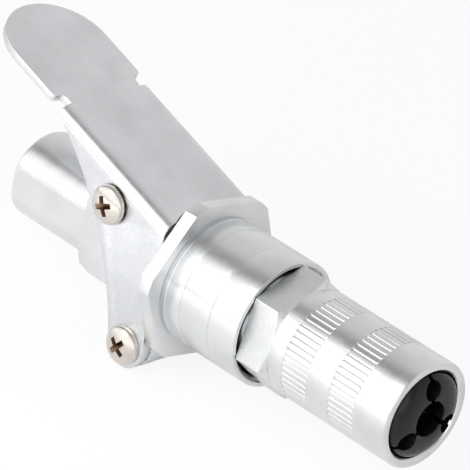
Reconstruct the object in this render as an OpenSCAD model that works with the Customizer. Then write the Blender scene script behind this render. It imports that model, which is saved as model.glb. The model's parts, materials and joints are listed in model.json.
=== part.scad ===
// Lever-operated grease coupler.
// The axis of the coupler is X: the hose socket opens at x = 0 and the jaws are at the +X end.
// The lever stands on the +Z side.

/* [Hose end] */
// Radius of the rear cylinder
rear_r = 6.9; // [6:0.1:7.6]
// Place where the wider pivot block starts
block_start = 15.3; // [13:0.1:17]
// Place of the block's front face
block_end = 26.5; // [25:0.1:27]
// Radius of the pivot block
block_r = 8.95; // [8:0.05:9.1]
// Rounding of the block's rear shoulder
shoulder_round = 1.5; // [0.8:0.1:2]
// Rounding of the rear rim
rear_round = 0.8; // [0.3:0.1:1.2]
// Radius of the threaded hose socket, at the thread's crests
socket_r = 4.3; // [4:0.05:4.5]
// Depth of the hose socket
socket_depth = 10; // [8:0.5:12]

/* [Stem] */
// Radius of the stem that carries the sliding sleeve
stem_r = 4.5; // [4.2:0.05:4.8]
// Place of the stem's front face
stem_end = 63.5; // [62.6:0.1:64]
// Radius of the grease channel
channel_r = 1.2; // [0.8:0.05:1.4]
// Radius of the stem's front bore, in which the seal holder slides
stem_bore_r = 2.9; // [2.6:0.05:3]
// Place where the front bore starts
stem_bore_start = 50; // [48:0.5:51]
// Radius of the threaded spigot that screws into the block
spigot_r = 3.9; // [3.4:0.05:4.2]
// Length of that spigot
spigot_length = 9; // [6:0.5:10]

/* [Barrel] */
// Place of the flange's rear face
flange_start = 34.0; // [33.9:0.05:34.4]
// Thickness of the hexagonal flange
flange_thickness = 2.3; // [1.8:0.1:3]
// Half the distance across the flange's flats
flange_flat = 12.0; // [11:0.1:13]
// Radius to which the flange's corners are turned
flange_corner_r = 13.2; // [12.4:0.1:13.6]
// Angle of one flange corner, from +Y towards +Z
flange_corner_angle = -8; // [-30:1:30]
// Radius of the barrel
barrel_r = 9.95; // [9.7:0.05:10.4]
// Place of the barrel's front end
barrel_end = 50.8; // [49.6:0.1:51.4]
// Thickness of the barrel's rear wall
barrel_wall = 3.4; // [2.8:0.1:4]
// Radius of the spring chamber
chamber_r = 7.3; // [7.1:0.05:7.8]
// Width of each of the two turned grooves
groove_w = 0.4; // [0.2:0.05:0.8]
// Depth of each turned groove
groove_depth = 0.18; // [0.05:0.01:0.4]
// Distance from the flange's rear face to the first groove
first_groove = 5.6; // [4:0.1:7]
// Distance between the two grooves
groove_pitch = 5.8; // [4:0.1:7]

/* [Nose] */
// Half the distance across the nose hexagon's flats
nose_flat = 8.25; // [7.9:0.05:8.4]
// Radius to which the hexagon's corners are turned
nose_corner_r = 9.5; // [8.8:0.05:9.6]
// Angle of one corner of the nose hexagon, from +Y towards +Z
nose_corner_angle = 19; // [-30:1:30]
// Place where the round collar starts
collar_start = 56.1; // [55.2:0.1:57]
// Radius of the collar
collar_r = 8.3; // [8.2:0.05:8.6]
// Place of the nose's front rim
nose_end = 79.0; // [78.6:0.1:79.3]
// Radius of the mouth, which holds the jaws closed
mouth_r = 7.12; // [7.05:0.01:7.2]
// Length of the mouth's bore
mouth_length = 1.6; // [1.2:0.1:2]
// Radius of the chamber behind the mouth
jaw_chamber_r = 7.55; // [7.5:0.01:7.6]
// Radius of the nose's rear bore
nose_bore_r = 7.0; // [6.85:0.01:7.04]
// Number of flutes round each knurled band
flute_count = 54; // [30:1:60]
// Depth of the flutes
flute_depth = 0.2; // [0.1:0.01:0.3]
// Length of each knurled band
knurl_length = 4.9; // [3:0.1:6]
// Place of the rear knurled band
rear_knurl = 58.8; // [58:0.1:60]
// Place of the front knurled band
front_knurl = 68.0; // [66:0.1:69]

/* [Jaws] */
// Outer radius of the jaws behind their noses
jaw_r = 6.7; // [6.5:0.05:6.8]
// Outer radius of the jaws' noses, inside the mouth
jaw_nose_r = 6.9; // [6.75:0.05:6.95]
// How far the jaws stand out of the mouth
jaw_reach = 1.1; // [0.8:0.1:1.4]
// Width of the slot between two jaws
jaw_slot = 0.7; // [0.5:0.05:1]
// Radius of the jaws' gripping lips, closed
grip_r = 2.75; // [2.6:0.05:3]
// Radius of the pocket for the fitting's head
pocket_r = 3.45; // [3.3:0.05:3.8]
// Angle of the first slot, from +Y towards +Z
first_slot_angle = 96; // [80:1:120]

/* [Lever] */
// Thickness of the lever's sheet
sheet = 1.3; // [1:0.1:1.5]
// Outer half width across the two arms
arm_half = 9.2; // [9:0.05:9.6]
// Outer radius of the fold between the top plate and each arm
fold_r = 1.7; // [1.5:0.1:2.4]
// Slope of the top plate
plate_slope = 17.8; // [15:0.1:19]
// Place of the plate's front corners
plate_front = 33.6; // [33:0.1:33.7]
// Height of the plate's top at its front corners
plate_front_z = 9.75; // [9.5:0.05:10.2]
// Depth of the hollow in the plate's front edge
front_hollow = 2.0; // [1:0.1:3]
// Distance from the plate's front to the notches
channel_length = 26.0; // [24:0.1:28]
// Length of the whole plate, along its slope
plate_length = 45.1; // [43:0.1:46]
// Half width of the paddle
paddle_half = 8.8; // [8.4:0.05:9]
// Depth of the notch beside the paddle
notch_depth = 1.6; // [1:0.1:2]
// Length of the notch along the plate
notch_length = 2.6; // [2:0.1:3.5]

/* [Pivots] */
// Place of the lever's pivot
pivot_x = 22.65; // [22:0.05:23]
// Height of the lever's pivot
pivot_z = 7.9; // [7.6:0.05:8.2]
// Thickness of the washers between the block's flats and the arms
washer_w = 1.5; // [1.2:0.05:2]
// Radius of the lug that carries the pivot
lug_r = 3.4; // [3:0.05:3.6]
// Place of the roller's axis
roller_x = 30.1; // [29.6:0.05:30.15]
// Height of the roller's axis
roller_z = -11.6; // [-12:0.05:-11.4]
// Radius of the roller
roller_r = 3.6; // [3.3:0.05:3.65]
// Radius of the arms' round lower ends
arm_end_r = 3.55; // [3.2:0.05:3.6]
// Radius of the screws' heads
head_r = 3.0; // [2.6:0.05:3.3]
// Height of the screws' domed heads
head_height = 1.7; // [1.2:0.1:2]
// Radius of the screws' shanks
shank_r = 1.5; // [1.25:0.05:1.7]

/* [Springs and seals] */
// Radius of the main spring's coil, at the wire's middle
spring_r = 6.1; // [5.8:0.05:6.2]
// Radius of the main spring's wire
spring_wire = 0.55; // [0.4:0.05:0.6]
// Number of the main spring's turns
spring_turns = 7; // [5:1:9]
// Radius of the check ball
ball_r = 1.9; // [1.6:0.05:2.1]
// Radius of the seal holder's tube
holder_r = 2.8; // [2.5:0.05:2.85]
// Radius of the grease hole through the holder and the seal
feed_r = 0.9; // [0.6:0.05:1.2]
// Radius of the rubber seal
seal_r = 3.8; // [3.6:0.05:4.2]
// Length of the rubber seal
seal_length = 4.4; // [3.5:0.1:4.6]

/* [Hidden] */
$fn = 64;
// One overrun for every cut
over = 1;
// Running clearance of sliding and turning fits
run_gap = 0.05;
// Clearance between pieces that only face each other
face_gap = 0.3;
flange_end = flange_start + flange_thickness;
chamber_start = flange_start + barrel_wall;
nose_seat = barrel_end + run_gap;
jaw_front = nose_end + jaw_reach;
// The groove in the stem that the jaws hook into
hook_start = stem_end - 4.2;
hook_end = stem_end - 1.8;
hook_r = 3.5;
clip_w = 0.8;
clip_r = 5.7;
clip_groove_r = 4.1;
clip_x = hook_start - 2.0;
seat_w = 1.2;
seat_r = 6.7;
seat_x = clip_x - seat_w - run_gap;
thin_washer_w = 0.6;
arm_inner = arm_half - sheet;
// Half the distance across the block's two side flats
flat_half = arm_inner - washer_w - 2 * run_gap;
slope_sin = sin(plate_slope);
slope_cos = cos(plate_slope);
colour_zinc = [0.78, 0.79, 0.8];
colour_dark = [0.12, 0.12, 0.13];
colour_nickel = [0.76, 0.72, 0.64];

// A turned shape from points [x, r] of its half section
module turned(points) {
  rotate([0, 90, 0]) rotate_extrude() polygon([for (p = points) [p[1], p[0]]]);
}

// A cylinder along X from one place to another
module rod_x(start, end, r) {
  translate([start, 0, 0]) rotate([0, 90, 0]) cylinder(r = r, h = end - start);
}

// A cylinder along Y, centred at y = 0, at a place in X and Z
module rod_y(x, z, half, r) {
  translate([x, half, z]) rotate([90, 0, 0]) cylinder(r = r, h = 2 * half);
}

// A ring along Y between two values of y
module ring_y(x, z, near, far, r, hole) {
  translate([x, far, z]) rotate([90, 0, 0]) difference() {
    cylinder(r = r, h = far - near);
    translate([0, 0, -over]) cylinder(r = hole, h = far - near + 2 * over);
  }
}

// A hexagonal bar along X with a corner at the given angle
module hexagon_x(start, end, flat, corner_angle) {
  translate([start, 0, 0]) rotate([corner_angle + 30, 0, 0]) rotate([0, 90, 0])
    cylinder(r = flat / cos(30), h = end - start, $fn = 6);
}

// A round ring of wire about the X axis
module wire_ring(x, r, wire) {
  translate([x, 0, 0]) rotate([0, 90, 0]) rotate_extrude() translate([r, 0]) circle(r = wire, $fn = 24);
}

// Points round one coil section of a spring
function coil_ring(x, turn, r, wire, sides) = [
  for (k = [0 : sides - 1])
    let (a = 360 * k / sides, rr = r + wire * cos(a))
    [x + wire * sin(a), rr * cos(turn), rr * sin(turn)]
];

// A coil spring along X, with closed end turns
module spring(start, end, r, wire, turns, sides, steps) {
  count = turns * steps;
  rise = end - start - 4 * wire;
  function lift(t) = t < 1 ? 2 * wire * t * 0.5
    : t > turns - 1 ? rise - 2 * wire * (turns - t) * 0.5
    : wire + (rise - 2 * wire) * (t - 1) / (turns - 2);
  rings = [for (i = [0 : count])
    coil_ring(start + 2 * wire + lift(i / steps), 360 * i / steps, r, wire, sides)];
  points = [for (ring = rings) for (p = ring) p];
  sidesets = [for (i = [0 : count - 1]) for (k = [0 : sides - 1])
    let (n = (k + 1) % sides, a = i * sides, b = a + sides) [a + k, a + n, b + n, b + k]];
  first_cap = [for (k = [0 : sides - 1]) sides - 1 - k];
  last_cap = [for (k = [0 : sides - 1]) count * sides + k];
  polyhedron(points = points, faces = concat(sidesets, [first_cap, last_cap]), convexity = 10);
}

// Hose end: rear cylinder, pivot block and lug, with the socket and the stem's thread
rear_chamfer = 0.5;
module rear_body() color(colour_zinc) {
  difference() {
    union() {
      intersection() {
        turned([
          [0, 0], [0, rear_r - rear_round],
          [rear_round * (1 - cos(45)), rear_r - rear_round * (1 - cos(45))],
          [rear_round, rear_r], [block_start, rear_r],
          [block_start, block_r - shoulder_round],
          [block_start + shoulder_round * (1 - cos(30)), block_r - shoulder_round * (1 - sin(30))],
          [block_start + shoulder_round * (1 - cos(60)), block_r - shoulder_round * (1 - sin(60))],
          [block_start + shoulder_round, block_r],
          [block_end - rear_chamfer, block_r], [block_end, block_r - rear_chamfer], [block_end, 0]
        ]);
        translate([-over, -flat_half, -2 * block_r])
          cube([block_end + 2 * over, 2 * flat_half, 4 * block_r]);
      }
      rod_y(pivot_x, pivot_z, flat_half, lug_r);
    }
    rod_x(-over, socket_depth, socket_r);
    rod_x(socket_depth - over, block_end, channel_r);
    rod_x(block_end - spigot_length, block_end + over, spigot_r + run_gap);
    rod_y(pivot_x, pivot_z, flat_half + over, shank_r + run_gap);
  }
}

// Stem with spigot, clip groove, jaw groove and the bore for the seal holder
module stem() color(colour_zinc) {
  difference() {
    union() {
      rod_x(block_end - spigot_length + face_gap, block_end + over, spigot_r);
      turned([
        [block_end + run_gap, 0], [block_end + run_gap, stem_r], [clip_x, stem_r],
        [clip_x, clip_groove_r], [clip_x + clip_w + run_gap, clip_groove_r],
        [clip_x + clip_w + run_gap, stem_r], [hook_start, stem_r],
        [hook_start, hook_r], [hook_end, hook_r], [hook_end, stem_r],
        [stem_end - rear_chamfer, stem_r], [stem_end, stem_r - rear_chamfer], [stem_end, 0]
      ]);
    }
    rod_x(block_end - spigot_length - over, stem_bore_start + over, channel_r);
    rod_x(stem_bore_start, stem_end + over, stem_bore_r);
  }
}

// Washer that the main spring pushes on
module spring_seat() color(colour_zinc) {
  difference() {
    rod_x(seat_x, seat_x + seat_w, seat_r);
    rod_x(seat_x - over, seat_x + seat_w + over, stem_r + run_gap);
  }
}

// Open retaining ring in the stem's clip groove
clip_opening = 3;
module seat_clip() color(colour_dark) {
  difference() {
    rod_x(clip_x + run_gap / 2, clip_x + run_gap / 2 + clip_w, clip_r);
    rod_x(clip_x - over, clip_x + clip_w + over, clip_groove_r + run_gap);
    translate([clip_x - over, -clip_opening / 2, 0]) cube([clip_w + 2 * over, clip_opening, 2 * clip_r]);
  }
}

// Spring that pulls the sleeve back over the jaws
module main_spring() color(colour_zinc)
  spring(chamber_start + run_gap, seat_x - run_gap, spring_r, spring_wire, spring_turns, 8, 24);

// Sliding barrel with its hexagonal flange
bush_r = 5.8;
lip_chamfer = 0.6;
thread_r = 8.6;
thread_length = 5;
module barrel() color(colour_zinc) {
  first = flange_start + first_groove;
  second = first + groove_pitch;
  neck_r = barrel_r - groove_depth;
  difference() {
    union() {
      intersection() {
        hexagon_x(flange_start, flange_end, flange_flat, flange_corner_angle);
        turned([
          [flange_start, 0], [flange_start, flange_corner_r - rear_chamfer],
          [flange_start + rear_chamfer, flange_corner_r], [flange_end - rear_chamfer, flange_corner_r],
          [flange_end, flange_corner_r - rear_chamfer], [flange_end, 0]
        ]);
      }
      turned([
        [flange_end - over, 0], [flange_end - over, neck_r], [flange_end + groove_w, neck_r],
        [flange_end + groove_w, barrel_r],
        [first, barrel_r], [first, neck_r], [first + groove_w, neck_r], [first + groove_w, barrel_r],
        [second, barrel_r], [second, neck_r], [second + groove_w, neck_r], [second + groove_w, barrel_r],
        [barrel_end - groove_w, barrel_r], [barrel_end, barrel_r - groove_w], [barrel_end, 0]
      ]);
    }
    rod_x(flange_start - over, chamber_start + over, bush_r);
    rod_x(chamber_start, barrel_end + over, chamber_r);
    rod_x(barrel_end - thread_length, barrel_end + over, thread_r + run_gap);
    turned([
      [barrel_end - lip_chamfer, 0], [barrel_end - lip_chamfer, thread_r + run_gap],
      [barrel_end + over, thread_r + run_gap + lip_chamfer + over], [barrel_end + over, 0]
    ]);
  }
}

// Plain bush that guides the barrel on the stem
module guide_bush() color([0.72, 0.52, 0.3]) {
  difference() {
    rod_x(flange_start, chamber_start, bush_r - run_gap / 5);
    rod_x(flange_start - over, chamber_start + over, stem_r + run_gap);
  }
}

// One flute of the knurling, with round ends
module flute(start) {
  flute_r = 0.48;
  depth_r = collar_r + flute_r - flute_depth;
  translate([start + flute_r, 0, depth_r]) {
    rotate([0, 90, 0]) cylinder(r = flute_r, h = knurl_length - 2 * flute_r, $fn = 16);
    sphere(r = flute_r, $fn = 16);
    translate([knurl_length - 2 * flute_r, 0, 0]) sphere(r = flute_r, $fn = 16);
  }
}

// Nose with its hexagon and knurled collar
module nose() color(colour_zinc) {
  difference() {
    union() {
      rod_x(barrel_end - thread_length + face_gap, nose_seat + over, thread_r);
      intersection() {
        hexagon_x(nose_seat, collar_start, nose_flat, nose_corner_angle);
        turned([
          [nose_seat, 0], [nose_seat, nose_corner_r - rear_chamfer],
          [nose_seat + rear_chamfer, nose_corner_r], [collar_start - lip_chamfer, nose_corner_r],
          [collar_start, nose_corner_r - 2 * lip_chamfer], [collar_start, 0]
        ]);
      }
      turned([
        [collar_start - over, 0], [collar_start - over, nose_flat], [collar_start, nose_flat],
        [collar_start, collar_r], [nose_end - rear_chamfer, collar_r],
        [nose_end, collar_r - rear_chamfer], [nose_end, 0]
      ]);
    }
    rod_x(barrel_end - thread_length - over, hook_start + over, nose_bore_r);
    rod_x(hook_start, nose_end - mouth_length, jaw_chamber_r);
    rod_x(nose_end - mouth_length - over, nose_end + over, mouth_r);
    for (band = [rear_knurl, front_knurl], k = [0 : flute_count - 1])
      rotate([360 * k / flute_count, 0, 0]) flute(band);
  }
}

// Half section of the jaws' ring, turned and then cut into three
jaw_back = hook_start - 0.7;
module jaw_section() {
  groove_x = stem_end + 3.4;
  wire_room = 0.5;
  turned([
    [jaw_back, stem_r + 3 * run_gap], [jaw_back, jaw_r - wire_room / 2], [jaw_back + wire_room / 2, jaw_r],
    [nose_end - mouth_length - 1.2, jaw_r], [nose_end - mouth_length, jaw_nose_r],
    [nose_end - 0.4, jaw_nose_r], [jaw_front - 0.2, 6.5], [jaw_front, 6.2],
    [jaw_front, 5.6], [jaw_front - 2.3, grip_r], [jaw_front - 3.7, grip_r],
    [jaw_front - 4.4, pocket_r], [jaw_front - 8.6, pocket_r],
    [jaw_front - 9.4, stem_r + 3 * run_gap], [groove_x + wire_room, stem_r + 3 * run_gap],
    [groove_x + wire_room, 5.5], [groove_x - wire_room, 5.5],
    [groove_x - wire_room, stem_r + 3 * run_gap], [hook_end - 0.15, stem_r + 3 * run_gap],
    [hook_end - 0.15, hook_r + 0.15], [hook_start + 0.15, hook_r + 0.15],
    [hook_start + 0.15, stem_r + 3 * run_gap]
  ]);
}

// One third of the ring, less half a slot on each side
module jaw(index) color(colour_dark) {
  angle = first_slot_angle + 120 * index;
  intersection() {
    jaw_section();
    rotate([angle, 0, 0]) translate([jaw_back - over, -2 * jaw_r, jaw_slot / 2])
      cube([jaw_front - jaw_back + 2 * over, 4 * jaw_r, 2 * jaw_r]);
    rotate([angle - 60, 0, 0]) translate([jaw_back - over, -2 * jaw_r, jaw_slot / 2])
      cube([jaw_front - jaw_back + 2 * over, 4 * jaw_r, 2 * jaw_r]);
  }
}
module jaw_1() jaw(0);
module jaw_2() jaw(1);
module jaw_3() jaw(2);

// Sprung wire ring that spreads the jaws
ring_wire = 0.4;
module jaw_ring() color(colour_zinc) wire_ring(stem_end + 3.4, 5.05, ring_wire);

// Tube that carries the seal and slides in the stem's bore
holder_flange = 0.9;
o_wire = 0.43;
o_mid = stem_bore_r - o_wire - run_gap / 2;
holder_back = stem_end - 6.2;
holder_face = stem_end + holder_flange + 1.5;
module seal_holder() color([0.75, 0.6, 0.35]) {
  groove_mid = stem_end - 3.2;
  difference() {
    turned([
      [holder_back, 0], [holder_back, holder_r], [groove_mid - 0.5, holder_r],
      [groove_mid - 0.5, o_mid - o_wire - run_gap / 2], [groove_mid + 0.5, o_mid - o_wire - run_gap / 2],
      [groove_mid + 0.5, holder_r], [holder_face - 1.5, holder_r],
      [holder_face - 1.5, seal_r], [holder_face, seal_r], [holder_face, 0]
    ]);
    rod_x(holder_back - over, holder_face + over, feed_r);
  }
}

// O-ring round the holder's tube
module holder_ring() color(colour_dark) wire_ring(stem_end - 3.2, o_mid, o_wire);

// Rubber seal that meets the fitting
module seal() color([0.1, 0.1, 0.1]) {
  difference() {
    turned([
      [holder_face, 0], [holder_face, seal_r], [holder_face + seal_length * 0.75, seal_r],
      [holder_face + seal_length, pocket_r - 0.5], [holder_face + seal_length, 0]
    ]);
    rod_x(holder_face - over, holder_face + seal_length + over, feed_r);
    turned([
      [holder_face + seal_length - 1, 0], [holder_face + seal_length - 1, feed_r],
      [holder_face + seal_length + over, feed_r + 1.8], [holder_face + seal_length + over, 0]
    ]);
  }
}

// Ball that closes the grease channel
ball_x = stem_bore_start + sqrt(ball_r * ball_r - channel_r * channel_r) + run_gap;
module check_ball() color(colour_zinc) translate([ball_x, 0, 0]) sphere(r = ball_r);

// Spring between the ball and the holder
small_wire = 0.25;
module seal_spring() color(colour_zinc)
  spring(ball_x + ball_r - 0.5, holder_back - run_gap, 1.95, small_wire, 5, 8, 20);

// Outline of the arms from the side, drawn in X and Z
scoop_r = 48;
front_scoop_r = 12.6;
module arm_outline() {
  far = 30;
  difference() {
    union() {
      polygon([
        [plate_front - plate_length, plate_front_z + far],
        [plate_front, plate_front_z + far],
        [plate_front, roller_z + arm_end_r],
        [roller_x + arm_end_r, roller_z],
        [roller_x - arm_end_r, roller_z],
        [plate_front - plate_length, roller_z + arm_end_r]
      ]);
      translate([roller_x, roller_z]) circle(r = arm_end_r);
    }
    translate([roller_x - arm_end_r - scoop_r * cos(12), roller_z - scoop_r * sin(12)]) circle(r = scoop_r, $fn = 180);
    translate([roller_x + 0.5 + front_scoop_r, (plate_front_z + roller_z) / 2]) circle(r = front_scoop_r);
  }
}

// Cross section of the folded channel, in Y and Z, with the plate's top at z = 0
module channel_section(depth) {
  inner_r = fold_r - sheet;
  difference() {
    union() {
      translate([-arm_half + fold_r, -depth]) square([2 * (arm_half - fold_r), depth]);
      translate([-arm_half, -depth]) square([2 * arm_half, depth - fold_r]);
      for (side = [-1, 1]) translate([side * (arm_half - fold_r), -fold_r]) circle(r = fold_r);
    }
    translate([-arm_inner + inner_r, -depth - over]) square([2 * (arm_inner - inner_r), depth + over - sheet]);
    translate([-arm_inner, -depth - over]) square([2 * arm_inner, depth + over - fold_r]);
    for (side = [-1, 1]) translate([side * (arm_half - fold_r), -fold_r]) circle(r = inner_r);
  }
}

// Places things in the plate's own frame: x runs forward along the plate, z = 0 is its top
module on_plate() {
  translate([plate_front, 0, plate_front_z]) rotate([0, plate_slope, 0]) children();
}

// Outline of the flat paddle, drawn on the plate
module paddle_outline() {
  tip_x = -plate_length + paddle_half;
  difference() {
    union() {
      translate([tip_x, 0]) circle(r = paddle_half);
      translate([tip_x, -paddle_half]) square([-channel_length - tip_x, 2 * paddle_half]);
      translate([-channel_length - over, -arm_half + fold_r]) square([2 * over, 2 * (arm_half - fold_r)]);
    }
    for (side = [-1, 1]) translate([-channel_length, side * (paddle_half + notch_length / 2 - notch_depth)])
      circle(r = notch_length / 2);
  }
}

// Bent sheet lever: paddle, channel and two arms
lever_hole_gap = 0.08;
module lever() color(colour_zinc) {
  deep = 60;
  difference() {
    union() {
      intersection() {
        on_plate() translate([-channel_length, 0, 0]) rotate([90, 0, 90])
          linear_extrude(height = channel_length + 2 * over) channel_section(deep);
        translate([0, arm_half + over, 0]) rotate([90, 0, 0])
          linear_extrude(height = 2 * (arm_half + over)) arm_outline();
      }
      on_plate() translate([0, 0, -sheet]) linear_extrude(height = sheet) paddle_outline();
    }
    rod_y(pivot_x, pivot_z, arm_half + over, shank_r + 0.5 + lever_hole_gap);
    rod_y(roller_x, roller_z, arm_half + over, shank_r + lever_hole_gap);
  }
}

// Domed screw along Y: side is -1 for left and 1 for right
module screw(x, z, side, under_head, shoulder, shoulder_end, shank_end) {
  dome = head_height * 0.55;
  dome_r = (head_r * head_r + dome * dome) / (2 * dome);
  slot_w = 0.9;
  slot_length = 3.2;
  slot_depth = 1.1;
  translate([x, 0, z]) rotate([side * -90, 0, 0]) difference() {
    union() {
      intersection() {
        translate([0, 0, under_head]) cylinder(r = head_r, h = head_height);
        translate([0, 0, under_head + head_height - dome_r]) sphere(r = dome_r);
      }
      translate([0, 0, shoulder_end]) cylinder(r = shoulder, h = under_head - shoulder_end + run_gap);
      translate([0, 0, shank_end]) cylinder(r = shank_r, h = under_head - shank_end);
    }
    translate([0, 0, under_head + head_height - slot_depth / 2]) rotate([0, 0, 45]) {
      cube([slot_length, slot_w, slot_depth], center = true);
      cube([slot_w, slot_length, slot_depth], center = true);
    }
  }
}
module pivot_screw(side) color(colour_nickel)
  screw(pivot_x, pivot_z, side, arm_half + face_gap, shank_r + 0.5, flat_half + run_gap, face_gap);
module lower_screw(side) color(colour_nickel)
  screw(roller_x, roller_z, side, arm_half + run_gap, shank_r, arm_inner, face_gap);
module pivot_screw_left() pivot_screw(-1);
module pivot_screw_right() pivot_screw(1);
module lower_screw_left() lower_screw(-1);
module lower_screw_right() lower_screw(1);

// Spacers between the pivot block and the arms
module pivot_washer(side) color(colour_zinc)
  ring_y(pivot_x, pivot_z, min(side * (flat_half + run_gap), side * (arm_inner - run_gap)),
    max(side * (flat_half + run_gap), side * (arm_inner - run_gap)), lug_r - 0.2, shank_r + 0.5 + run_gap);
module pivot_washer_left() pivot_washer(-1);
module pivot_washer_right() pivot_washer(1);

// Axle between the arms, which the lower screws hold
axle_r = 2.3;
module roller_axle() color(colour_zinc)
  difference() {
    rod_y(roller_x, roller_z, arm_inner - run_gap, axle_r);
    rod_y(roller_x, roller_z, arm_inner + over, shank_r + run_gap);
  }

// Roller that pushes on the flange's rear face
module roller() color(colour_dark) {
  half = arm_inner - thin_washer_w - 2 * run_gap;
  ring_y(roller_x, roller_z, -half, half, roller_r, axle_r + run_gap);
}

// Thin washers beside the roller
module roller_washer(side) color(colour_zinc)
  ring_y(roller_x, roller_z, min(side * (arm_inner - thin_washer_w), side * (arm_inner - run_gap)),
    max(side * (arm_inner - thin_washer_w), side * (arm_inner - run_gap)), roller_r - 0.4, axle_r + run_gap);
module roller_washer_left() roller_washer(-1);
module roller_washer_right() roller_washer(1);

rear_body();
stem();
spring_seat();
seat_clip();
main_spring();
barrel();
guide_bush();
nose();
jaw_1();
jaw_2();
jaw_3();
jaw_ring();
seal_holder();
seal();
holder_ring();
seal_spring();
check_ball();
lever();
pivot_screw_left();
pivot_screw_right();
pivot_washer_left();
pivot_washer_right();
roller_axle();
roller();
roller_washer_left();
roller_washer_right();
lower_screw_left();
lower_screw_right();
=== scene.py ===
"""Looks of a lever-operated grease coupler: zinc-plated steel, dark jaws and nickel screws."""
import contextlib
import json
import math

import bmesh
import bpy
from mathutils import Matrix, Vector


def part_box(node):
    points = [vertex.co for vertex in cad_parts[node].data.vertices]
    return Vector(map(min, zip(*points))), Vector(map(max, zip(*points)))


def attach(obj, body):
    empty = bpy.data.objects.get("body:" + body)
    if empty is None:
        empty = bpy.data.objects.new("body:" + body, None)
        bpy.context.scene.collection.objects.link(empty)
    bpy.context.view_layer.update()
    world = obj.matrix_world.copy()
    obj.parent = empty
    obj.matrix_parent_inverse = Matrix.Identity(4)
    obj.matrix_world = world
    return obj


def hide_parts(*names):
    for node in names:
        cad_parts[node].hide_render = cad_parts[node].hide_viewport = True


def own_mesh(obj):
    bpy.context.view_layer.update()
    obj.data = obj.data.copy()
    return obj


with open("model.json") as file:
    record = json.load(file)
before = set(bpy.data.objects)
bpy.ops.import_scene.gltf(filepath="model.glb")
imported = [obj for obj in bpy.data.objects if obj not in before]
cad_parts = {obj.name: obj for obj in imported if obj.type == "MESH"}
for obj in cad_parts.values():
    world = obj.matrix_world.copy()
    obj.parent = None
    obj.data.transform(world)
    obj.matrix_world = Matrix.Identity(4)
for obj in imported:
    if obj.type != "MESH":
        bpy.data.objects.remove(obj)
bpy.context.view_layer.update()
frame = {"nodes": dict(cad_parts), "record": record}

MM = 0.001
nodes = frame["nodes"]
record = frame["record"]
body_of_node = {n: b for b, group in record["behaviour"]["bodies"].items() for n in group}
slot_of_node = {s["node"]: s["material_slot"] for s in record["subparts"]}


def low(node):
    """A node's lowest corner, in millimetres."""
    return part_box(node)[0] / MM


def high(node):
    """A node's highest corner, in millimetres."""
    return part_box(node)[1] / MM


# Camera, in millimetres: its place and two of its axes, from the photograph's perspective
CAMERA_PLACE = Vector((408.8, -439.7, 297.7))
CAMERA_RIGHT = Vector((0.6924, 0.6993, 0.1774))
CAMERA_UP = Vector((-0.4355, 0.2091, 0.8755))
CAMERA_LENS = 344.9
SENSOR = 36.0

# Small turned edges, and a radius that stands for a point on the axis, in millimetres
EDGE = 0.12
EDGE_ALONG = 0.03
EDGE_DOWN = 0.04
AXIS_R = 0.001

# Edges sharper than these, in degrees, stay sharp in the shading
SHARP_TURNED = 28
SHARP = 32

# Rear body, in millimetres: a flatted cylinder that widens to the pivot block
FLAT_HALF = 6.3
REAR_R = 6.9
BLOCK_R = 8.95
BLOCK_START = 15.3
STEM_SEAT_R = 4.6
FEED_R = 1.3
SOCKET_R = 4.3
SOCKET_DEPTH = 10.0
LEAD_IN = 0.9
THREADS = 8
THREAD_PITCH = 0.907
THREAD_START = 1.1
THREAD_HEIGHT = 0.45
PIVOT = Vector((22.65, 0, 7.9))
LUG_R = 3.4
LUG_BORE_R = 2.1
LUG_EDGE = 0.15

# Barrel, in millimetres and degrees: a sleeve with a hexagonal flange at its back
FLANGE_FLAT = 12.0
FLANGE_R = 13.2
FLANGE_T = 2.3
FLANGE_CORNER = -8.0
BARREL_R = 9.95
NECK_DEPTH = 0.35
GROOVES = (5.6, 11.4)
GROOVE_WIDTH = 0.34
GROOVE_DEPTH = 0.16
GROOVE_LEAN = 0.04
SEAT_R = 8.65
SEAT_DEPTH = 5.0
SPRING_CHAMBER_R = 7.3
BUSH_SEAT_R = 5.8
BUSH_SEAT_LENGTH = 3.4

# Nose, in millimetres and degrees: a spigot in the barrel, a short hexagon and a knurled collar
SPIGOT_START = 46.1
SPIGOT_R = 8.55
NOSE_SEAT = high("barrel").x + 0.05
COLLAR_START = 56.1
COLLAR_R = 8.3
NOSE_FLAT = 8.25
NOSE_CORNER_R = 9.5
NOSE_CORNER = 19.0
NOSE_CHAMFER = 30
NOSE_END = high("nose").x
MOUTH_R = 6.8
MOUTH_CHAMFER = 0.35
MOUTH_BACK = NOSE_END - 1.6
CHAMBER_R = 7.55
CHAMBER_START = 59.3
BORE_R = 7.0
STRIPES = 54
POINTS_PER_STRIPE = 12
STRIPE_HALF = 0.38
KNURL_DEPTH = 0.12
KNURL_SLOPE = 0.08
KNURLS = (58.8, 68.0)
KNURL_LENGTH = 4.9


def make_camera():
    """The photograph's camera."""
    data = bpy.data.cameras.new("camera")
    data.sensor_width = SENSOR
    data.lens = CAMERA_LENS
    data.clip_start = 0.01
    data.clip_end = 10
    camera = bpy.data.objects.new("camera", data)
    bpy.context.scene.collection.objects.link(camera)
    right = CAMERA_RIGHT.normalized()
    back = right.cross(CAMERA_UP).normalized()
    up = back.cross(right)
    turn = Matrix((right, up, back)).transposed().to_4x4()
    camera.matrix_world = Matrix.Translation(CAMERA_PLACE * MM) @ turn
    bpy.context.scene.camera = camera


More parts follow.
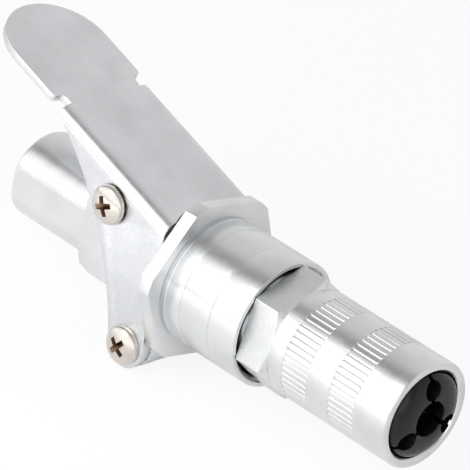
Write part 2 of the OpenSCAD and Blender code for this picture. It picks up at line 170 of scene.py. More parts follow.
# Shapes
def add_piece(name, mesh, node, materials, sharp=35, plane=math.inf):
    """A finished mesh takes a CAD node's place, body and slot; faces over plane, in m2, look flat."""
    slot = slot_of_node[node]
    piece = bpy.data.objects.new(name, mesh)
    bpy.context.scene.collection.objects.link(piece)
    for face in mesh.polygons:
        face.use_smooth = face.area < plane
    mesh.set_sharp_from_angle(angle=math.radians(sharp))
    mesh.materials.clear()
    mesh.materials.append(materials[slot])
    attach(piece, body_of_node[node])
    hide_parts(node)
    return piece


def rounded(points, steps=4):
    """Points [x, r, fillet] with each corner rounded by its fillet."""
    out = []
    for i, (x, r, fillet) in enumerate(points):
        here = Vector((x, r))
        if not fillet or i in (0, len(points) - 1):
            out.append((x, r))
            continue
        before = Vector(points[i - 1][:2]) - here
        after = Vector(points[i + 1][:2]) - here
        reach = min(fillet / math.tan(before.angle(after) / 2), before.length * 0.49, after.length * 0.49)
        start = here + before.normalized() * reach
        end = here + after.normalized() * reach
        for k in range(steps + 1):
            t = k / steps
            out.append(tuple((1 - t) ** 2 * start + 2 * t * (1 - t) * here + t * t * end))
    return out


def rings_mesh(name, rings, closed=True):
    """A mesh through rings of points in millimetres; a closed one joins its last ring to its first."""
    count = len(rings[0])
    mesh = bpy.data.meshes.new(name)
    points = [[c * MM for c in p] for ring in rings for p in ring]
    faces = []
    last = len(rings) if closed else len(rings) - 1
    for i in range(last):
        a = i * count
        b = (i + 1) % len(rings) * count
        for k in range(count):
            n = (k + 1) % count
            faces.append((a + k, b + k, b + n, a + n))
    mesh.from_pydata(points, [], faces)
    return tidy_mesh(mesh)


@contextlib.contextmanager
def editing(mesh):
    """A mesh opened for editing; what was done is written back to it."""
    bm = bmesh.new()
    bm.from_mesh(mesh)
    yield bm
    bm.to_mesh(mesh)
    bm.free()


def tidy_mesh(mesh):
    """Joins points that meet and turns all the faces outwards."""
    with editing(mesh) as bm:
        bmesh.ops.remove_doubles(bm, verts=bm.verts, dist=1e-7)
        bmesh.ops.dissolve_degenerate(bm, edges=bm.edges, dist=1e-8)
        bmesh.ops.recalc_face_normals(bm, faces=bm.faces)
    return mesh


def turned_mesh(name, outline_at, angles):
    """A turned shape about the X axis; outline_at(angle) gives its half section's (x, r) points there."""
    columns = [[(x, r * math.cos(a), r * math.sin(a)) for x, r in outline_at(a)] for a in angles]
    return rings_mesh(name, [list(ring) for ring in zip(*columns)])


def even_angles(count, first=0.0):
    """Angles spread evenly round a circle, in radians; the first is given in degrees."""
    return [math.radians(first + 360 * k / count) for k in range(count)]


def sharp_edges(bm, angle, above=-math.inf):
    """Edges that turn by more than an angle, in degrees, and lie above a height, in metres."""
    return [e for e in bm.edges if len(e.link_faces) == 2 and e.calc_face_angle(0) > math.radians(angle)
            and min(v.co.z for v in e.verts) > above]


def bevel(bm, edges, width, segments, clamp=True):
    """Bevels edges by a width in millimetres."""
    bmesh.ops.bevel(bm, geom=edges, offset=width * MM, segments=segments, profile=0.5, affect="EDGES",
                    clamp_overlap=clamp)


def soften(mesh, width, segments=2, angle=30, merge=0.001):
    """Bevels a mesh's sharp edges in place, after joining points closer than merge."""
    with editing(mesh) as bm:
        bmesh.ops.remove_doubles(bm, verts=bm.verts, dist=merge * MM)
        bmesh.ops.dissolve_limit(bm, angle_limit=math.radians(0.4), verts=bm.verts, edges=bm.edges)
        bevel(bm, sharp_edges(bm, angle), width, segments, merge < width / 2)
    return mesh


def cut(mesh, tool_mesh, operation="DIFFERENCE"):
    """One mesh cut by another, as a new mesh."""
    base = bpy.data.objects.new("base", mesh)
    tool = bpy.data.objects.new("tool", tool_mesh)
    for o in (base, tool):
        bpy.context.scene.collection.objects.link(o)
    change = base.modifiers.new("cut", "BOOLEAN")
    change.operation = operation
    change.solver = "EXACT"
    change.object = tool
    bpy.context.view_layer.update()
    shaped = base.evaluated_get(bpy.context.evaluated_depsgraph_get())
    result = bpy.data.meshes.new_from_object(shaped)
    bpy.data.objects.remove(base)
    bpy.data.objects.remove(tool)
    return result


def hexagon_reach(angle, corner, flat, corner_r):
    """How far a hexagonal bar with turned corners reaches at an angle."""
    off = (math.degrees(angle) - corner) % 60 - 30
    return min(flat / math.cos(math.radians(off)), corner_r)


def knurl_dip(angle, along):
    """How deep the knurling is at an angle, at a distance past the stripes' straight stretch."""
    pitch = math.tau / STRIPES
    off = ((angle - math.radians(NOSE_CORNER) + pitch / 2) % pitch - pitch / 2) * COLLAR_R
    outside = math.hypot(off, along) - STRIPE_HALF
    return KNURL_DEPTH * min(1.0, max(0.0, outside / KNURL_SLOPE))


# Turned pieces
def make_nose(materials):
    """The nose: its hexagon is milled and the rest is turned."""

    def outline(angle):
        reach = hexagon_reach(angle, NOSE_CORNER, NOSE_FLAT, NOSE_CORNER_R)
        points = [(SPIGOT_START + 0.1, BORE_R), (SPIGOT_START, BORE_R + 0.1)]
        points += [(SPIGOT_START, SPIGOT_R - 0.25), (SPIGOT_START + 0.2, SPIGOT_R)]
        points.append((NOSE_SEAT, SPIGOT_R - 0.3))
        back = min(reach, NOSE_CORNER_R - 0.15)
        points += [(NOSE_SEAT, back - EDGE), (NOSE_SEAT + EDGE_ALONG, back - EDGE_ALONG),
                   (NOSE_SEAT + EDGE, reach)]
        crease = COLLAR_START - max(0.0, reach - COLLAR_R) * math.tan(math.radians(NOSE_CHAMFER))
        points += [(crease - 0.1, reach), (crease - 0.02, reach - 0.015)]
        points += [(COLLAR_START, min(reach, COLLAR_R)), (COLLAR_START + 0.3, COLLAR_R)]
        for start in KNURLS:
            past = [STRIPE_HALF * k / 8 for k in range(9)]
            end = start + KNURL_LENGTH
            points.append((start - 0.03, COLLAR_R))
            points += [(start + STRIPE_HALF - v, COLLAR_R - knurl_dip(angle, v)) for v in reversed(past)]
            points += [(end - STRIPE_HALF + v, COLLAR_R - knurl_dip(angle, v)) for v in past]
            points.append((end + 0.03, COLLAR_R))
        mouth = [
            (NOSE_END - 3, COLLAR_R, 0), (NOSE_END, COLLAR_R, 0.5),
            (NOSE_END, MOUTH_R + MOUTH_CHAMFER, 0.25), (NOSE_END - MOUTH_CHAMFER, MOUTH_R, 0.2),
            (MOUTH_BACK, MOUTH_R, 0.1), (MOUTH_BACK, CHAMBER_R, 0),
            (CHAMBER_START, CHAMBER_R, 0), (CHAMBER_START, BORE_R, 0)]
        return points + rounded(mouth, 5)

    mesh = turned_mesh("nose_shell", outline, even_angles(STRIPES * POINTS_PER_STRIPE, NOSE_CORNER))
    add_piece("nose_shell", mesh, "nose", materials, SHARP_TURNED)
    mesh.materials.append(materials["milled_zinc"])
    for face in mesh.polygons:
        place = face.center / MM
        if NOSE_SEAT < place.x < COLLAR_START - 0.3 and math.hypot(place.y, place.z) > COLLAR_R - 0.1:
            face.material_index = 1


def flange_angles():
    """Angles round the flange, with points beside each edge where a flat meets the turned corner."""
    edge = 30 - math.degrees(math.acos(FLANGE_FLAT / FLANGE_R))
    steps = [0, edge * 0.5, edge - 0.3, edge, edge + 0.3]
    steps += [edge + 0.3 + (29.7 - edge) * k / 9 for k in range(1, 10)]
    half = sorted(set(steps + [-s for s in steps if s < 30]))
    return [math.radians(FLANGE_CORNER + 60 * k + s) for k in range(6) for s in half]


def make_barrel(materials):
    """The sliding sleeve with its flange and two fine turned grooves."""
    back = low("barrel").x
    front = high("barrel").x
    flange_front = back + FLANGE_T
    neck = BARREL_R - NECK_DEPTH

    def groove(x):
        end = x + GROOVE_WIDTH
        bottom = BARREL_R - GROOVE_DEPTH
        return [(x - GROOVE_LEAN, BARREL_R, 0.03), (x + GROOVE_LEAN, bottom, 0.03),
                (end - GROOVE_LEAN, bottom, 0.03), (end + GROOVE_LEAN, BARREL_R, 0.03)]

    def outline(angle):
        reach = hexagon_reach(angle, FLANGE_CORNER, FLANGE_FLAT, FLANGE_R)
        points = [(back, reach - EDGE), (back + EDGE_ALONG, reach - EDGE_DOWN), (back + EDGE, reach)]
        points += [(flange_front - EDGE, reach), (flange_front - EDGE_ALONG, reach - EDGE_DOWN)]
        points += [(flange_front, reach - EDGE), (flange_front, neck + 0.6)]
        body = [(flange_front, neck + 0.5, 0), (flange_front, neck, 0.25),
                (flange_front + 0.5, neck, 0.05), (flange_front + 0.7, BARREL_R, 0.05)]
        for distance in GROOVES:
            body += groove(back + distance)
        body += [(front, BARREL_R, 0.22), (front, SEAT_R + 0.6, 0.1), (front - 0.65, SEAT_R, 0.05),
                 (front - SEAT_DEPTH, SEAT_R, 0), (front - SEAT_DEPTH, SPRING_CHAMBER_R, 0),
                 (back + BUSH_SEAT_LENGTH, SPRING_CHAMBER_R, 0), (back + BUSH_SEAT_LENGTH, BUSH_SEAT_R, 0),
                 (back, BUSH_SEAT_R, 0)]
        return points + rounded(body)

    mesh = turned_mesh("barrel_shell", outline, flange_angles())
    add_piece("barrel_shell", mesh, "barrel", materials, SHARP_TURNED)


def flatted_ring(x, radius, flat, around=40, across=10):
    """A ring of a round bar with a flat on each side; its points keep to the flats' edges."""
    reach = min(flat, radius)
    edge = math.acos(reach / radius)
    ring = []
    for turn, side in ((0, 1), (math.pi, -1)):
        for k in range(across):
            a = -edge + 2 * edge * k / across
            ring.append((x, side * reach, side * reach * math.tan(a)))
        for k in range(around):
            a = edge + (math.pi - 2 * edge) * k / around + turn
            ring.append((x, radius * math.cos(a), radius * math.sin(a)))
    return ring


def make_rear_body(materials):
    """The rear body with its threaded socket, and the lug on its pivot block."""
    front = high("rear_body").x
    outer = rounded([
        (0, SOCKET_R + 1.0, 0), (0, REAR_R, 0.8), (BLOCK_START, REAR_R, 0.1),
        (BLOCK_START, BLOCK_R - 1.5, 0), (BLOCK_START + 0.5, BLOCK_R - 0.4, 0.6),
        (BLOCK_START + 2.2, BLOCK_R, 0.8), (front, BLOCK_R, 0.5), (front, STEM_SEAT_R, 0)], 7)
    inner = [(front, FEED_R), (SOCKET_DEPTH, FEED_R), (SOCKET_DEPTH, SOCKET_R)]
    for k in reversed(range(THREADS)):
        start = THREAD_START + THREAD_PITCH * k
        inner += [(start + THREAD_PITCH * part, SOCKET_R + THREAD_HEIGHT * deep)
                  for part, deep in ((0.95, 0), (0.55, 1), (0.45, 1), (0.05, 0))]
    inner += [(LEAD_IN, SOCKET_R), (0.15, SOCKET_R + 0.8)]
    rings = [flatted_ring(x, r, FLAT_HALF) for x, r in outer + inner]
    mesh = rings_mesh("hose_end", rings)
    with editing(mesh) as bm:
        bm.from_mesh(lug_mesh())
    add_piece("hose_end", mesh, "rear_body", materials, SHARP_TURNED)


def lug_mesh():
    """The round lug on the pivot block, a little inside the block's flats."""
    half = FLAT_HALF - 0.02
    side = [(half - LUG_EDGE, LUG_R), (half, LUG_R - LUG_EDGE), (half, LUG_BORE_R)]
    sections = [(-y, r) for y, r in reversed(side)] + side
    rings = [[(PIVOT.x + r * math.cos(a), y, PIVOT.z + r * math.sin(a)) for a in even_angles(64)]
             for y, r in sections]
    return rings_mesh("lug", rings)


# Bevels of the pieces that keep their CAD shape, in millimetres
SOFT_WIDTHS = {"roller": 0.15, "pivot_washer_left": 0.08, "pivot_washer_right": 0.08,
               "roller_washer_left": 0.06, "roller_washer_right": 0.06}


def make_bevelled(materials):
    """Pieces whose CAD shape is right and only want softer edges."""
    for node, width in SOFT_WIDTHS.items():
        add_piece(node + "_soft", soften(nodes[node].data.copy(), width), node, materials, SHARP)


# Springs: the node, the slide that shortens it and its end that stays
SPRINGS = (("main_spring", "sleeve_slide", high("main_spring")),
           ("seal_spring", "seal_slide", low("seal_spring")))


def make_springs(materials):
    """The springs as they are in the CAD, each a piece with a mesh of its own."""
    for node, slide, end in SPRINGS:
        piece = add_piece(node + "_wire", nodes[node].data.copy(), node, materials)
        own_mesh(piece)


# Lever, in millimetres and degrees; faces over LEVER_PLANE, in m2, look flat
SHEET = 1.3
ARM_HALF = 9.2
FOLD_R = 2.1
PLATE_SLOPE = math.radians(17.8)
PLATE_FRONT = Vector((33.6, 9.75))
CHANNEL_LENGTH = 25.4
PLATE_LENGTH = 45.1
PADDLE_HALF = 8.8
NOTCH_DEPTH = 1.8
NOTCH_LENGTH = 2.9
FRONT_HOLLOW = 2.0
ROLLER = Vector((30.1, -11.6))
ARM_END_R = 3.55
SCOOP_R = 48
SCOOP_ANGLE = 12
PIVOT_HOLE_R = 2.08
ROLLER_HOLE_R = 1.58
LEVER_EDGE = 0.14
LEVER_PLANE = 4e-5


def extruded(name, outline, place, near, far):
    """A prism between two depths; place(u, v, depth) puts a point of the outline in space."""
    count = len(outline)
    points = [[c * MM for c in place(u, v, depth)] for depth in (near, far) for u, v in outline]
    faces = [(k, (k + 1) % count, count + (k + 1) % count, count + k) for k in range(count)]
    faces += [tuple(reversed(range(count))), tuple(count + k for k in range(count))]
    mesh = bpy.data.meshes.new(name)
    mesh.from_pydata(points, [], faces)
    return tidy_mesh(mesh)


def arc(u, v, radius, first, last, steps):
    """Points of an arc; its angles are in degrees."""
    turns = [math.radians(first + (last - first) * k / steps) for k in range(steps + 1)]
    return [(u + radius * math.cos(a), v + radius * math.sin(a)) for a in turns]


def from_side(x, z, y):
    """A point of an outline drawn in the side view."""
    return x, y, z


def on_plate(along, across, up):
    """A point in the plate's own frame: along runs forward from its front edge and up is 0 at its top."""
    x = PLATE_FRONT.x + along * math.cos(PLATE_SLOPE) + up * math.sin(PLATE_SLOPE)
    z = PLATE_FRONT.y - along * math.sin(PLATE_SLOPE) + up * math.cos(PLATE_SLOPE)
    return x, across, z


def along_plate(across, up, along):
    """A point of an outline drawn across the plate."""
    return on_plate(along, across, up)


def channel_outline():
    """The folded channel's cross section: across and up from the plate's top."""
    inner = ARM_HALF - SHEET
    inner_r = FOLD_R - SHEET
    deep = 60
    half = [(ARM_HALF, -deep)] + arc(ARM_HALF - FOLD_R, -FOLD_R, FOLD_R, 0, 90, 9)
    under = arc(inner - inner_r, -SHEET - inner_r, inner_r, 90, 0, 5) + [(inner, -deep)]
    mirrored = [(-u, v) for u, v in reversed(half)]
    return half + mirrored + [(-u, v) for u, v in reversed(under)] + under


def arm_outline():
    """The arms' outline from the side: straight in front, round at the lower end and hollow behind."""
    reach = math.radians(SCOOP_ANGLE)
    scoop = (ROLLER.x - ARM_END_R - SCOOP_R * math.cos(reach), ROLLER.y - SCOOP_R * math.sin(reach))
    outline = [(PLATE_FRONT.x, 30), (PLATE_FRONT.x, ROLLER.y + 0.6)]
    outline += arc(ROLLER.x, ROLLER.y, ARM_END_R, -4, -180, 24)
    outline += arc(*scoop, SCOOP_R, SCOOP_ANGLE + 1, 62, 44)
    return outline + [(-20, 30)]


def paddle_outline():
    """The flat paddle and its neck: along and across the plate."""
    end = -CHANNEL_LENGTH - NOTCH_LENGTH
    neck = PADDLE_HALF - NOTCH_DEPTH
    corner = NOTCH_DEPTH / 2
    tip = PADDLE_HALF - PLATE_LENGTH
    half = [(1 - CHANNEL_LENGTH, neck - 0.2), (-CHANNEL_LENGTH, neck - 0.2), (-CHANNEL_LENGTH - 0.2, neck)]
    half += arc(end + 2 * corner, neck + corner, corner, 270, 180, 5)
    half += arc(end, neck + corner, corner, 0, 90, 5)
    half += arc(tip, 0, PADDLE_HALF, 90, 180, 28)
    return half + [(u, -v) for u, v in reversed(half[:-1])]


def make_lever(materials):
    """The bent sheet lever: channel and arms cut from one folded section, joined to the flat paddle."""
    past = ARM_HALF + 1
    ahead = 8
    channel = extruded("channel", channel_outline(), along_plate, -CHANNEL_LENGTH, ahead)
    arms = extruded("arms", arm_outline(), from_side, -past, past)
    paddle = extruded("paddle", paddle_outline(), on_plate, -SHEET, 0)
    mesh = cut(cut(channel, arms, "INTERSECT"), paddle, "UNION")
    half = ARM_HALF - FOLD_R
    hollow_r = (half ** 2 + FRONT_HOLLOW ** 2) / (2 * FRONT_HOLLOW)
    hollow = arc(hollow_r - FRONT_HOLLOW, 0, hollow_r, 120, 240, 40) + [(30, -20), (30, 20)]
    mesh = cut(mesh, extruded("hollow", hollow, on_plate, -SHEET - 1, 1))
    for place, radius in ((PIVOT.xz, PIVOT_HOLE_R), (ROLLER, ROLLER_HOLE_R)):
        hole = arc(place.x, place.y, radius, 0, 352.5, 47)
        mesh = cut(mesh, extruded("hole", hole, from_side, -past, past))
    mesh = soften(mesh, LEVER_EDGE, 3, 40, 0.08)
    add_piece("lever_sheet", mesh, "lever", materials, SHARP, LEVER_PLANE)


# Jaws, in millimetres and degrees; their noses are rounder than the CAD's and end at the same place
JAW_BACK = low("jaw_1").x
JAW_FRONT = high("jaw_1").x
JAW_R = 6.7
JAW_BORE_R = 4.65
NOSE_MIDDLE_R = 2.9
NOSE_ROUND = (1.7, 3.7)
NOSE_POWER = 0.9
GRIP_R = 2.75
LIP_LENGTH = 1.7
POCKET_R = 3.45
POCKET_LENGTH = 6.0
FIRST_SLOT = 96
SLOT_HALF = 0.35
RELIEF_R = 1.5
RELIEF_PLACE = 4.6
RELIEF_LENGTH = 4.5
JAW_EDGE = 0.15


def jaw_mesh(section, first):
    """A turned section from the slot at the angle first to the next one, with flat sides along both."""
    steps = 48
    count = len(section)
    columns = [[] for k in range(steps + 1)]
    for x, r in section:
        trim = math.asin(SLOT_HALF / r)
        for k in range(steps + 1):
            a = first + trim + (math.tau / 3 - 2 * trim) * k / steps
            columns[k].append((x * MM, r * math.cos(a) * MM, r * math.sin(a) * MM))
    faces = []
    for a in range(0, steps * count, count):
        b = a + count
        faces += [(a + i, a + (i + 1) % count, b + (i + 1) % count, b + i) for i in range(count)]
    faces += [tuple(range(count)), tuple(steps * count + i for i in reversed(range(count)))]
    mesh = bpy.data.meshes.new("jaw")
    mesh.from_pydata([p for column in columns for p in column], [], faces)
    return tidy_mesh(mesh)


def relief_mesh(angle):
    """A round rod along X in the middle of a slot, for cutting the relief holes."""
    y = RELIEF_PLACE * math.cos(angle)
    z = RELIEF_PLACE * math.sin(angle)
    rings = [[(x, y + r * math.cos(a), z + r * math.sin(a)) for a in even_angles(48)]
             for x, r in ((JAW_FRONT - RELIEF_LENGTH, AXIS_R), (JAW_FRONT - RELIEF_LENGTH, RELIEF_R),
                          (JAW_FRONT + 1, RELIEF_R), (JAW_FRONT + 1, AXIS_R))]
    return rings_mesh("relief", rings)


def make_jaws(materials):
    """Three jaws with rounded noses, parted by slots with a relief hole down each."""
    nose_start = JAW_FRONT - NOSE_ROUND[0]
    lip_back = JAW_FRONT - LIP_LENGTH
    section = [(JAW_BACK, JAW_BORE_R), (JAW_BACK, JAW_R - JAW_EDGE), (JAW_BACK + JAW_EDGE, JAW_R)]
    section += [(MOUTH_BACK - 1.5, JAW_R), (MOUTH_BACK - 0.5, NOSE_MIDDLE_R + NOSE_ROUND[1])]
    section += [(nose_start + NOSE_ROUND[0] * math.sin(a) ** NOSE_POWER,
                 NOSE_MIDDLE_R + NOSE_ROUND[1] * abs(math.cos(a)) ** NOSE_POWER)
                for a in (math.pi / 2 * k / 16 for k in range(17))]
    section += [(JAW_FRONT - 0.12, GRIP_R), (lip_back, GRIP_R), (lip_back - 0.7, POCKET_R),
                (lip_back - POCKET_LENGTH, POCKET_R), (lip_back - POCKET_LENGTH - 0.8, JAW_BORE_R)]
    for index, node in enumerate(("jaw_1", "jaw_2", "jaw_3")):
        first = math.radians(FIRST_SLOT + 120 * index)
        mesh = jaw_mesh(section, first)
        for angle in (first, first + math.tau / 3):
            mesh = cut(mesh, relief_mesh(angle))
        mesh = soften(mesh, JAW_EDGE, 3, 38)
        add_piece(node + "_body", mesh, node, materials, SHARP)


# Screws, in millimetres; each has its side, its recess's turn in degrees and its shank's radius
SCREWS = {"pivot_screw_left": (-1, 25, 2.0), "pivot_screw_right": (1, 60, 2.0),
          "lower_screw_left": (-1, 50, 1.5), "lower_screw_right": (1, 10, 1.5)}
HEAD_R = 3.0
HEAD_HEIGHT = 1.7
DOME_HEIGHT = 1.25
CROSS_HALF = 1.6
CROSS_WIDTH_HALF = 0.42
CROSS_DEPTH = 1.5
CROSS_TAPER = 0.5
CROSS_ABOVE = 0.6
RIM_EDGE = 0.06
# Where the recesses' painted shade reaches: this far under the head's top, and lower by the slope times
# the squared distance from the axis
RECESS_MARGIN = 0.12
RECESS_SLOPE = 0.159


def cross_cutter():
    """A tapered cross-shaped plug that points down, to be sunk from z = 0."""
    size = CROSS_HALF
    width = CROSS_WIDTH_HALF
    quarter = [(size, -width), (size, width), (width, width)]
    outline = []
    for k in range(4):
        outline += quarter
        quarter = [(-y, x) for x, y in quarter]
    count = len(outline)
    levels = ((CROSS_DEPTH * CROSS_ABOVE, 1 + CROSS_TAPER * CROSS_ABOVE), (-CROSS_DEPTH, 1 - CROSS_TAPER))
    points = [(x * scale * MM, y * scale * MM, z * MM) for z, scale in levels for x, y in outline]
    faces = [tuple(range(count)), tuple(reversed(range(count, 2 * count)))]
    faces += [(k, count + k, count + (k + 1) % count, (k + 1) % count) for k in range(count)]
    mesh = bpy.data.meshes.new("cutter")
    mesh.from_pydata(points, [], faces)
    return tidy_mesh(mesh)


def make_screw(name, side, turn, shank, materials):
    """A domed cross-recess screw: its head stands on the arm and its shank runs inwards."""
    centre = (low(name) + high(name)) / 2
    tail, top = sorted((abs(low(name).y), abs(high(name).y)))
    under = top - HEAD_HEIGHT
    profile = [(top - 0.001, AXIS_R)]
    profile += [(top - DOME_HEIGHT * (1 - math.cos(a)), HEAD_R * math.sin(a)) for a in
                (math.pi / 2 * k / 18 for k in range(1, 17))]
    profile += [(under + 0.4, HEAD_R), (under + EDGE, HEAD_R), (under, HEAD_R - EDGE), (under, shank)]
    profile += [(tail, shank), (tail, AXIS_R)]
    rings = [[(r * math.cos(a), r * math.sin(a), z) for a in even_angles(72)] for z, r in profile]
    mesh = rings_mesh(name + "_mesh", rings, closed=False)
    with editing(mesh) as bm:
        bmesh.ops.holes_fill(bm, edges=[e for e in bm.edges if e.is_boundary])
        bmesh.ops.recalc_face_normals(bm, faces=bm.faces)
    cutter = cross_cutter()
    cutter.transform(Matrix.Translation((0, 0, (top - 0.1) * MM)))
    mesh = cut(mesh, cutter)
    with editing(mesh) as bm:
        bevel(bm, sharp_edges(bm, 40, (under + 0.5) * MM), RIM_EDGE, 2)
    spin = Matrix.Rotation(math.radians(turn), 4, "Z")
    lay = Matrix.Rotation(math.radians(-90 * side), 4, "X")
    mesh.transform(Matrix.Translation((centre.x * MM, 0, centre.z * MM)) @ lay @ spin)
    add_piece(name + "_head", mesh, name, materials, SHARP)
    # Faces inside the cross recess get a dark brown metal: painted shade in the recess
    mesh.materials.append(materials["recess_painted_shade"])
    for face in mesh.polygons:
        place = face.center / MM - Vector((centre.x, 0, centre.z))
        out = math.hypot(place.x, place.z)
        ceiling = top - RECESS_MARGIN - RECESS_SLOPE * out ** 2
        if out < CROSS_HALF + 0.3 and ceiling > abs(place.y) > under - 0.3:
            face.material_index = 1


# Noise scales, in repeats per metre
BLOTCHES = 160
OXIDE_BLOTCHES = 420
FINE = 900
RUBBER_FINE = 1500
OXIDE_FINE = 1300
SPECKS = 6000
OXIDE_SPECKS = 5000
TURNING = 9000
BUMP_HEIGHT = 0.00005


# Helpers for node materials
def new_material(name):
    """A material with its nodes, links and shader."""
    material = bpy.data.materials.new(name)
    material.use_nodes = True
    tree = material.node_tree
    return material, tree.nodes, tree.links, tree.nodes["Principled BSDF"]


def noise(node_list, links, vector, scale, detail=2.0):
    """Soft noise at the places that the vector gives."""
    node = node_list.new("ShaderNodeTexNoise")
    node.inputs["Scale"].default_value = scale
    node.inputs["Detail"].default_value = detail
    links.new(vector, node.inputs["Vector"])
    return node.outputs["Fac"]


def stretched(node_list, links, scale):
    """The piece's own place, stretched along each axis."""
    place = node_list.new("ShaderNodeTexCoord")
    mapping = node_list.new("ShaderNodeMapping")
    mapping.inputs["Scale"].default_value = scale
    links.new(place.outputs["Object"], mapping.inputs["Vector"])
    return mapping.outputs["Vector"]


def remap(node_list, links, value, from_low, from_high, to_low, to_high):
    """A value moved from one range to another and kept inside it."""
    node = node_list.new("ShaderNodeMapRange")
    limits = {"From Min": from_low, "From Max": from_high, "To Min": to_low, "To Max": to_high}
    for key, number in limits.items():
        node.inputs[key].default_value = number
    links.new(value, node.inputs["Value"])
    return node.outputs["Result"]


def bump(node_list, links, height, strength, normal):
    """A normal bent by a height, on top of another normal where one is given."""
    node = node_list.new("ShaderNodeBump")
    node.inputs["Strength"].default_value = strength
    node.inputs["Distance"].default_value = BUMP_HEIGHT
    links.new(height, node.inputs["Height"])
    if normal:
        links.new(normal, node.inputs["Normal"])
    return node.outputs["Normal"]


def metal(name, colour, roughness, turned=0.0, spread=0.08, grain=0.0):
    """Plated metal: turning marks round the X axis, faint blotches and a fine grain."""
    material, node_list, links, shader = new_material(name)
    shader.inputs["Metallic"].default_value = 1.0
    base = node_list.new("ShaderNodeMix")
    base.data_type = "RGBA"
    base.inputs["A"].default_value = (*colour, 1)
    base.inputs["B"].default_value = (*(c * 0.88 for c in colour), 1)
    even = stretched(node_list, links, (1, 1, 1))
    blotches = noise(node_list, links, even, BLOTCHES, 4)
    links.new(remap(node_list, links, blotches, 0.4, 0.75, 0, 1), base.inputs["Factor"])
    links.new(base.outputs["Result"], shader.inputs["Base Color"])
    fine = noise(node_list, links, even, FINE, 3)
    links.new(remap(node_list, links, fine, 0.3, 0.7, roughness - spread / 2, roughness + spread / 2),
              shader.inputs["Roughness"])
    normal = None
    if turned:
        marks = noise(node_list, links, stretched(node_list, links, (1, 0.01, 0.01)), TURNING)
        normal = bump(node_list, links, marks, turned, None)
    if grain:
        specks = noise(node_list, links, even, SPECKS)
        normal = bump(node_list, links, specks, grain, normal)
    if normal:
        links.new(normal, shader.inputs["Normal"])
    return material


def oxide(name):
    """Blackened steel: near black with faint brown and grey blotches under an oily gloss."""
    material, node_list, links, shader = new_material(name)
    base = node_list.new("ShaderNodeMix")
    base.data_type = "RGBA"
    base.inputs["A"].default_value = (0.003, 0.003, 0.004, 1)
    base.inputs["B"].default_value = (0.010, 0.008, 0.007, 1)
    even = stretched(node_list, links, (1, 1, 1))
    blotches = noise(node_list, links, even, OXIDE_BLOTCHES, 4)
    links.new(remap(node_list, links, blotches, 0.42, 0.7, 0, 1), base.inputs["Factor"])
    links.new(base.outputs["Result"], shader.inputs["Base Color"])
    fine = noise(node_list, links, even, OXIDE_FINE, 3)
    links.new(remap(node_list, links, fine, 0.3, 0.7, 0.16, 0.34), shader.inputs["Roughness"])
    specks = noise(node_list, links, even, OXIDE_SPECKS)
    links.new(bump(node_list, links, specks, 0.08, None), shader.inputs["Normal"])
    shader.inputs["IOR"].default_value = 1.4
    return material


def rubber(name):
    """Black rubber, even and dull."""
    material, node_list, links, shader = new_material(name)
    shader.inputs["Base Color"].default_value = (0.02, 0.02, 0.021, 1)
    fine = noise(node_list, links, stretched(node_list, links, (1, 1, 1)), RUBBER_FINE, 3)
    links.new(remap(node_list, links, fine, 0.3, 0.7, 0.4, 0.6), shader.inputs["Roughness"])
    return material


def make_materials():
    """Each slot's material, and those of the hexagon and of the recesses, whose dark brown is painted
    shade.
    """
    return {
        "zinc_steel": metal("zinc_steel", (0.79, 0.80, 0.81), 0.22, turned=0.12),
        "lever_steel": metal("lever_steel", (0.77, 0.78, 0.80), 0.28, grain=0.1),
        "milled_zinc": metal("milled_zinc", (0.76, 0.77, 0.77), 0.38, spread=0.3, grain=0.8),
        "screw_nickel": metal("screw_nickel", (0.72, 0.68, 0.63), 0.22, spread=0.2, grain=0.05),
        # Dark brown metal for the cross recesses: painted shade
        "recess_painted_shade": metal("recess_painted_shade", (0.30, 0.20, 0.13), 0.35, spread=0.2, grain=0.3),
        "black_oxide": oxide("black_oxide"),
        "spring_steel": metal("spring_steel", (0.5, 0.51, 0.53), 0.3),
        "bronze": metal("bronze", (0.62, 0.42, 0.22), 0.4, grain=0.3),
        "brass": metal("brass", (0.75, 0.6, 0.32), 0.3, turned=0.2),
        "rubber": rubber("rubber"),
    }


# The stage, in millimetres; the floor glows by its share for each kind of ray and is grey for the rest
FLOOR_Z = -15.3
FLOOR_HALF = 1500
FLOOR_GREY = 0.75
FLOOR_GLOW = (("Is Camera Ray", 0.88), ("Is Glossy Ray", 0.1), ("Is Transmission Ray", 0.88))

# Lamps: place, aim and size in millimetres, and power in watts
KEY_LAMP = ((-300, -900, 800), (40, 0, 0), (600, 600), 1.6)
SIDE_LAMP = ((10, -170, 75), (10, -140, -15), (260, 120), 0.42)

# The studio's light by the angle round the X axis, in degrees from +Y towards +Z: a wide soft light
# on the -Y side, a dim gap overhead and an even pale wall on the +Y side
SKY = [(0, 0.84), (40, 0.77), (62, 0.72), (78, 0.66), (88, 0.57), (97, 0.40), (104, 0.31), (111, 0.38),
       (118, 0.82), (126, 1.2), (150, 1.45), (166, 1.5), (180, 1.5)]
SKY_MOST = 2.0


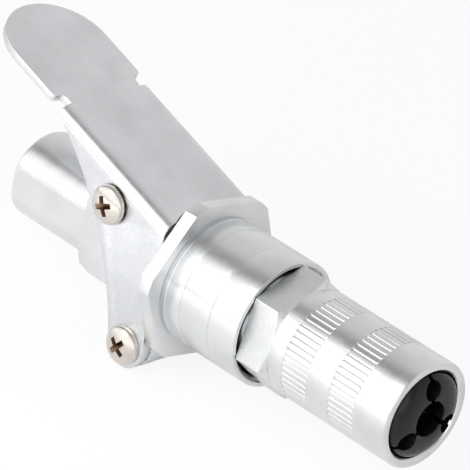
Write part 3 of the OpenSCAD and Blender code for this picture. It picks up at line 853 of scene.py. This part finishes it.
def make_world():
    """The studio: its light changes only with the angle round the X axis."""
    world = bpy.data.worlds.new("studio")
    bpy.context.scene.world = world
    world.use_nodes = True
    node_list, links = world.node_tree.nodes, world.node_tree.links
    background = node_list["Background"]
    place = node_list.new("ShaderNodeTexCoord")
    split = node_list.new("ShaderNodeSeparateXYZ")
    links.new(place.outputs["Generated"], split.inputs["Vector"])
    angle = node_list.new("ShaderNodeMath")
    angle.operation = "ARCTAN2"
    links.new(split.outputs["Z"], angle.inputs[0])
    links.new(split.outputs["Y"], angle.inputs[1])
    sky = node_list.new("ShaderNodeValToRGB")
    sky.color_ramp.interpolation = "B_SPLINE"
    stops = sky.color_ramp.elements
    stops[0].position, stops[1].position = 0.0, 1.0
    for degrees, level in SKY:
        at = degrees / 180
        stop = stops[0] if at == 0 else stops[-1] if at == 1 else stops.new(at)
        stop.color = (level / SKY_MOST, level / SKY_MOST, level / SKY_MOST, 1)
    links.new(remap(node_list, links, angle.outputs["Value"], 0, math.pi, 0, 1), sky.inputs["Fac"])
    links.new(sky.outputs["Color"], background.inputs["Color"])
    background.inputs["Strength"].default_value = SKY_MOST


def make_lamp(name, place, aim, size, power):
    """A soft rectangular lamp that the camera doesn't see."""
    data = bpy.data.lights.new(name, "AREA")
    data.shape = "RECTANGLE"
    data.size, data.size_y = size[0] * MM, size[1] * MM
    data.energy = power
    lamp = bpy.data.objects.new(name, data)
    bpy.context.scene.collection.objects.link(lamp)
    lamp.location = Vector(place) * MM
    lamp.rotation_euler = (Vector(aim) - Vector(place)).to_track_quat("-Z", "Y").to_euler()
    lamp.visible_camera = False
    return lamp


def make_floor():
    """A white floor that keeps the part's shadow."""
    mesh = bpy.data.meshes.new("floor")
    s = FLOOR_HALF * MM
    z = FLOOR_Z * MM
    mesh.from_pydata([(-s, -s, z), (s, -s, z), (s, s, z), (-s, s, z)], [], [(0, 1, 2, 3)])
    floor = bpy.data.objects.new("floor", mesh)
    bpy.context.scene.collection.objects.link(floor)
    material, node_list, links, shader = new_material("floor_white")
    shader.inputs["Base Color"].default_value = (FLOOR_GREY, FLOOR_GREY, FLOOR_GREY, 1)
    shader.inputs["Roughness"].default_value = 0.9
    glow = node_list.new("ShaderNodeEmission")
    glow.inputs["Color"].default_value = (1, 1, 1, 1)
    light_path = node_list.new("ShaderNodeLightPath")
    mix = node_list.new("ShaderNodeMixShader")
    share = None
    for ray, weight in FLOOR_GLOW:
        part = node_list.new("ShaderNodeMath")
        part.operation = "MULTIPLY"
        part.inputs[1].default_value = weight
        links.new(light_path.outputs[ray], part.inputs[0])
        if share:
            most = node_list.new("ShaderNodeMath")
            most.operation = "MAXIMUM"
            links.new(share, most.inputs[0])
            links.new(part.outputs["Value"], most.inputs[1])
            part = most
        share = part.outputs["Value"]
    links.new(share, mix.inputs["Fac"])
    links.new(shader.outputs["BSDF"], mix.inputs[1])
    links.new(glow.outputs["Emission"], mix.inputs[2])
    links.new(mix.outputs["Shader"], node_list["Material Output"].inputs["Surface"])
    mesh.materials.append(material)


def dress_nodes(materials):
    """Every CAD node gets the material of its slot."""
    for name, obj in nodes.items():
        obj.data.materials.clear()
        obj.data.materials.append(materials[slot_of_node[name]])


def main():
    bpy.context.scene.view_settings.view_transform = "Standard"
    make_camera()
    make_world()
    make_floor()
    make_lamp("key", *KEY_LAMP)
    make_lamp("side", *SIDE_LAMP).visible_glossy = False
    materials = make_materials()
    dress_nodes(materials)
    make_nose(materials)
    make_barrel(materials)
    make_rear_body(materials)
    make_bevelled(materials)
    make_springs(materials)
    make_lever(materials)
    make_jaws(materials)
    for name, (side, turn, shank) in SCREWS.items():
        make_screw(name, side, turn, shank, materials)


main()
